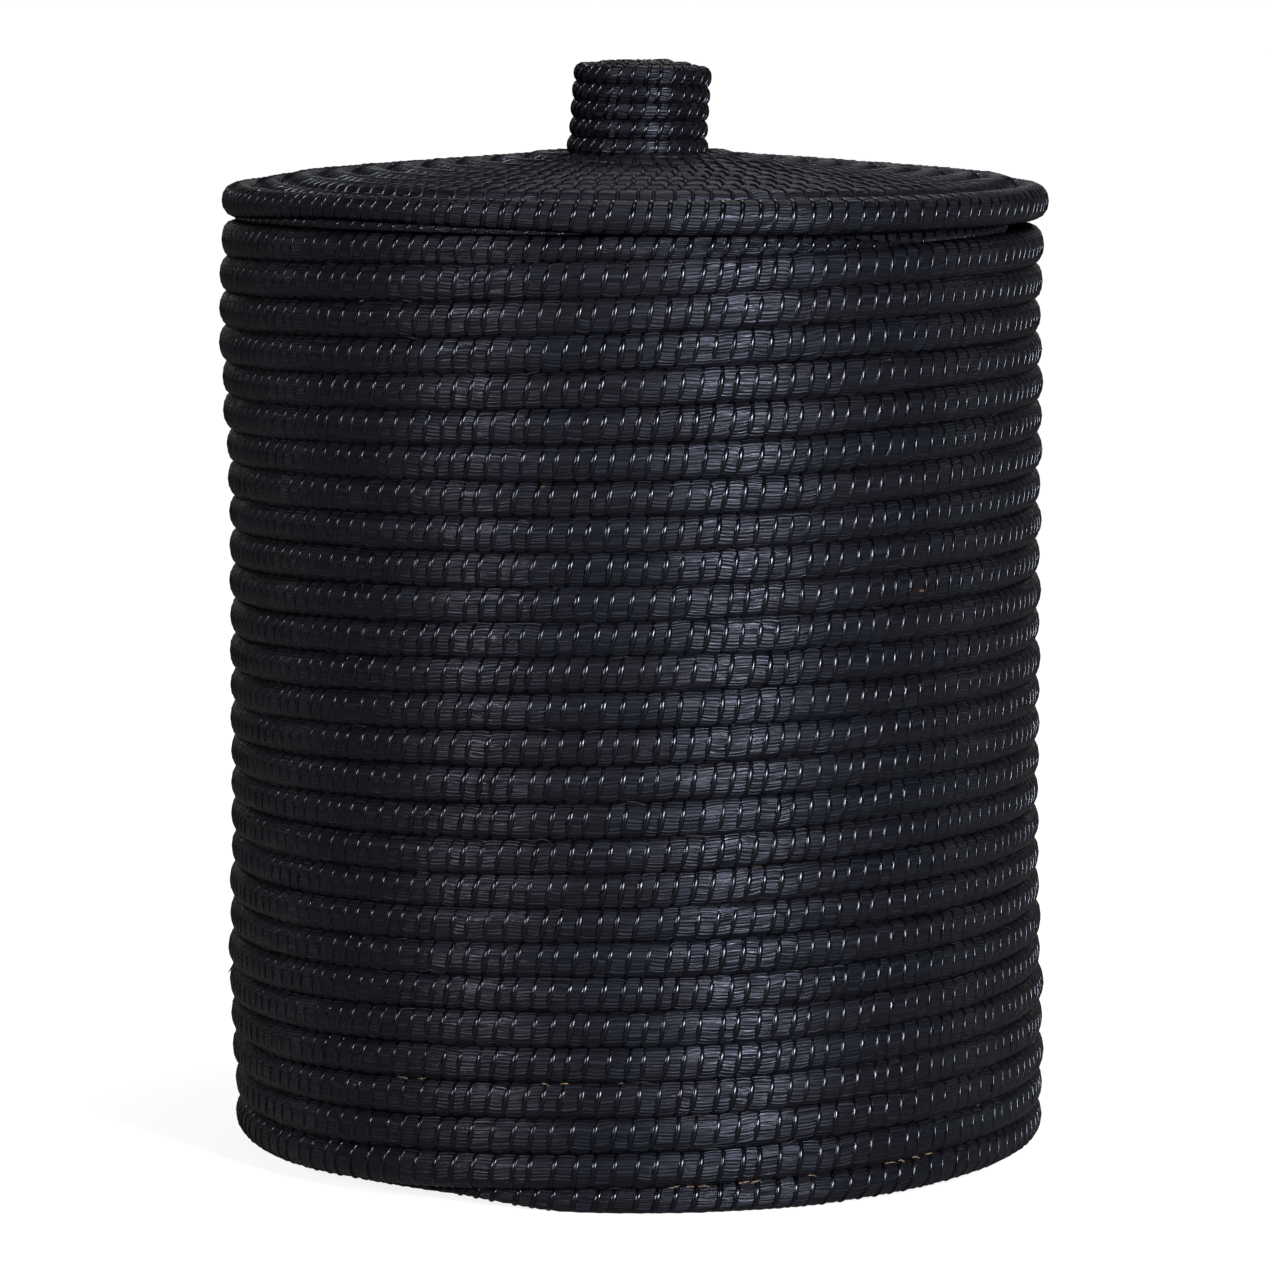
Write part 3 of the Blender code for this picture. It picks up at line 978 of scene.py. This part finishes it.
def ring_route(angle):
    """The locating ring's coil: a wedge, whole turns and a wedge, with level edges."""
    low, high = edges(ACROSS_FRONT.turns(angle), RING_ROWS)
    return ring_outer - COIL / 2, ring_low.z + PITCH * (low + high) / 2, high - low, 0.0


ring_binding = Binding(open_steps=22, hidden_steps=14)
ring = Coil(
    "lid", "lid_locating_coil", ring_route, (COIL_START, ring_last), COIL, PITCH * PRESSED,
    ring_binding, seed=61,
)
dress(ring, "lid_ring_{}", stems_worn, strips_black, "worn_black_grass")


# The knob: a small hollow stack of turns, closed by a disc inside its top

knob_bottom = dome_height(dome_inner) + COIL / 2 - KNOB_SINK
knob_height = KNOB_ROWS * KNOB_PITCH


def knob_lean(height):
    """How far the knob leans to +X at a height above its bottom."""
    share = np.maximum(height - KNOB_SINK, 0) / (knob_height - KNOB_SINK)
    return KNOB_FOOT_LEAN + (KNOB_LEAN - KNOB_FOOT_LEAN) * share


def knob_route(angle):
    """The knob's coil winds down from the cap to the foot."""
    low, high = edges(BEHIND_KNOB.turns(angle), KNOB_ROWS)
    height = knob_height - KNOB_PITCH * (low + high) / 2
    flare = 1 - blend((height - KNOB_SINK) / KNOB_PITCH)
    radius = KNOB_RADIUS + KNOB_FLARE * flare - KNOB_COIL / 2
    near_top = blend((height / KNOB_PITCH - KNOB_SETTLE_ROW) / KNOB_SETTLE_ROWS)
    settled = (KNOB_SETTLE + KNOB_TILT * np.sin(angle)) * near_top
    return radius, knob_bottom + height - settled, high - low, knob_lean(height)


knob_binding = Binding(
    spacing=0.0069, width=0.0023, lean=0.0022, open_steps=18, hidden_steps=8, squareness=2.3,
    ridge=0.00018,
)
knob_last = BEHIND_KNOB.angle_at(KNOB_ROWS + 1 - KNOB_START_SHARE)
knob = Coil(
    "lid", "knob_wall_coil", knob_route, (KNOB_START, knob_last), KNOB_COIL, KNOB_PITCH * PRESSED,
    knob_binding, seed=71,
)
dress(knob, "knob_wall_{}", stems_knob, strips_black, "knob_black_grass")

cap_inner = KNOB_KNOT_RADIUS + STITCH_GAP / 2
cap_outer = KNOB_RADIUS - KNOB_COIL - SEAT_GAP
cap_middle = knob_bottom + knob_height - KNOB_PITCH / 2


def cap_height(radius):
    """Height of the cap's coil at a radius: highest in the middle."""
    return cap_middle + KNOB_CROWN * (1 - (radius / cap_outer) ** 2)


cap_lean = float(knob_lean(knob_height - KNOB_PITCH / 2))
cap_route, cap_width, cap_last = disc_route(
    cap_inner, cap_outer, cap_height, BEHIND_KNOB, KNOB_PITCH, cap_lean
)
cap_binding = replace(knob_binding, lean=0.0010, open_sides=(-10, 190))
cap = Coil(
    "lid", "knob_cap_coil", cap_route, (KNOB_START, cap_last), cap_width * PRESSED, KNOB_COIL,
    cap_binding, seed=81,
)
dress(cap, "knob_cap_{}", stems_knob, strips_black, "knob_black_grass")


# Start knots: the tight curl at the middle of a disc

def start_knot(node, body, radius, low, high, lean, stems, leaf, slot):
    """One tight turn of a coil that fills a disc from its middle."""
    binding = Binding(
        spacing=radius * KNOT_SPACING, width=0.0024, lean=0.0006, squareness=2.4, swell=0.0001,
        open_steps=14, hidden_steps=8,
    )

    def route(angle):
        return np.full_like(angle, radius * KNOT_MIDDLE), (low + high) / 2, 1.0, lean

    curl = Coil(
        body, node, route, (0.0, TURN), radius * KNOT_WIDTH, high - low, binding,
        seed=91, floor=0.0,
    )
    dress(curl, node + "_{}", stems, leaf, slot)


start_knot(
    "base_start_knot", "basket", BASE_KNOT_RADIUS - STITCH_GAP / 2,
    base_knot_low.z, base_knot_high.z, 0.0,
    stems_worn, strips_worn, "worn_black_grass",
)
start_knot(
    "knob_start_knot", "lid", KNOB_KNOT_RADIUS - STITCH_GAP / 2,
    knot_low.z, knot_high.z - KNOB_KNOT_DROP, cap_lean,
    stems_knob, strips_black, "knob_black_grass",
)


# Floor, light and camera

CAMERA_PLACE = (0.0, -3.37, 0.629)
CAMERA_PITCH = math.radians(83.7)
FOCAL_PIXELS = 6733
IMAGE_PIXELS = 1270
SENSOR = 36.0
SURROUNDINGS = 0.04
LIT_PLACE = (0.0, 0.0, 0.28)
WHITE = (1.0, 1.0, 1.0)

# The floor: its colour, and the painted glow that the camera sees on it at two distances from the
# basket's axis
FLOOR_SIZE = 40
FLOOR_COLOUR = (0.24, 0.24, 0.24)
FLOOR_NEAR = (0.22, (0.87, 0.87, 0.87))
FLOOR_FAR = (0.45, WHITE)

# Name, angle round from the front, angle above the floor, distance, width, height, watts, colour
LAMPS = (
    ("right", 28, 15, 2.6, 0.26, 0.70, 96, WHITE),
    ("left", -43, 18, 2.6, 0.18, 0.60, 35, (1.0, 0.92, 0.88)),
    ("right_side", 105, 12, 2.6, 0.5, 0.8, 3.2, WHITE),
    ("left_side", -110, 12, 2.6, 0.5, 0.8, 1.5, WHITE),
    ("top", 0, 80, 2.2, 0.8, 0.8, 7, WHITE),
    ("back", 172, 42, 2.6, 0.9, 0.6, 4, WHITE),
    ("backdrop", 180, 14, 3.0, 3.6, 1.4, 3.5, WHITE),
)


def floor():
    """White paper under the basket, with a painted glow that only the camera sees: white far off,
    and a little dimmer near the foot so that the real shadow shows there.
    """
    slab = bmesh.new()
    bmesh.ops.create_grid(slab, x_segments=1, y_segments=1, size=FLOOR_SIZE)
    mesh = bpy.data.meshes.new("floor")
    slab.to_mesh(mesh)
    slab.free()
    paper = Finish("white_floor")
    seen = paper.number("ShaderNodeLightPath", {}, {}, output=0)
    place = paper.object_place()
    distance = paper.number("ShaderNodeVectorMath", {"operation": "LENGTH"}, {0: place}, output=1)
    (near, dimmer), (far, brighter) = FLOOR_NEAR, FLOOR_FAR
    glow = paper.mix(distance.between(near, far), (*dimmer, 1), (*brighter, 1))
    paper.set(
        Base_Color=(*FLOOR_COLOUR, 1), Roughness=0.9, Specular_IOR_Level=0.2,
        Emission_Color=paper.mix(seen, (0, 0, 0, 1), glow), Emission_Strength=1.0,
    )
    mesh.materials.append(paper.material)
    made = bpy.data.objects.new("floor", mesh)
    bpy.context.scene.collection.objects.link(made)


def lamp(name, azimuth, elevation, distance, width, height, power, colour):
    """A soft light that faces the middle of the basket."""
    light = bpy.data.lights.new(name, "AREA")
    light.shape = "RECTANGLE"
    light.size = width
    light.size_y = height
    light.energy = power
    light.color = colour
    made = bpy.data.objects.new(name, light)
    turned, raised = math.radians(azimuth), math.radians(elevation)
    level = math.cos(raised)
    away = Vector((math.sin(turned) * level, -math.cos(turned) * level, math.sin(raised)))
    made.location = Vector(LIT_PLACE) + away * distance
    made.rotation_euler = away.to_track_quat("Z", "Y").to_euler()
    bpy.context.scene.collection.objects.link(made)


def surroundings(strength):
    """A white world for the camera, and a faint one for the basket."""
    world = bpy.data.worlds.new("studio")
    world.use_nodes = True
    tree = world.node_tree
    back = tree.nodes["Background"]
    back.inputs["Color"].default_value = (1, 1, 1, 1)
    path = tree.nodes.new("ShaderNodeLightPath")
    level = tree.nodes.new("ShaderNodeMapRange")
    level.inputs["To Min"].default_value = strength
    level.inputs["To Max"].default_value = 1.0
    tree.links.new(path.outputs["Is Camera Ray"], level.inputs["Value"])
    tree.links.new(level.outputs[0], back.inputs["Strength"])
    bpy.context.scene.world = world


def camera():
    """A long lens that looks a little down, as in the photograph."""
    view = bpy.data.cameras.new("camera")
    view.sensor_width = SENSOR
    view.lens = FOCAL_PIXELS / IMAGE_PIXELS * SENSOR
    view.clip_end = 200
    made = bpy.data.objects.new("camera", view)
    made.location = CAMERA_PLACE
    made.rotation_euler = (CAMERA_PITCH, 0, 0)
    bpy.context.scene.collection.objects.link(made)
    bpy.context.scene.camera = made


floor()
surroundings(SURROUNDINGS)
for settings in LAMPS:
    lamp(*settings)
camera()
bpy.context.scene.view_settings.view_transform = "Standard"
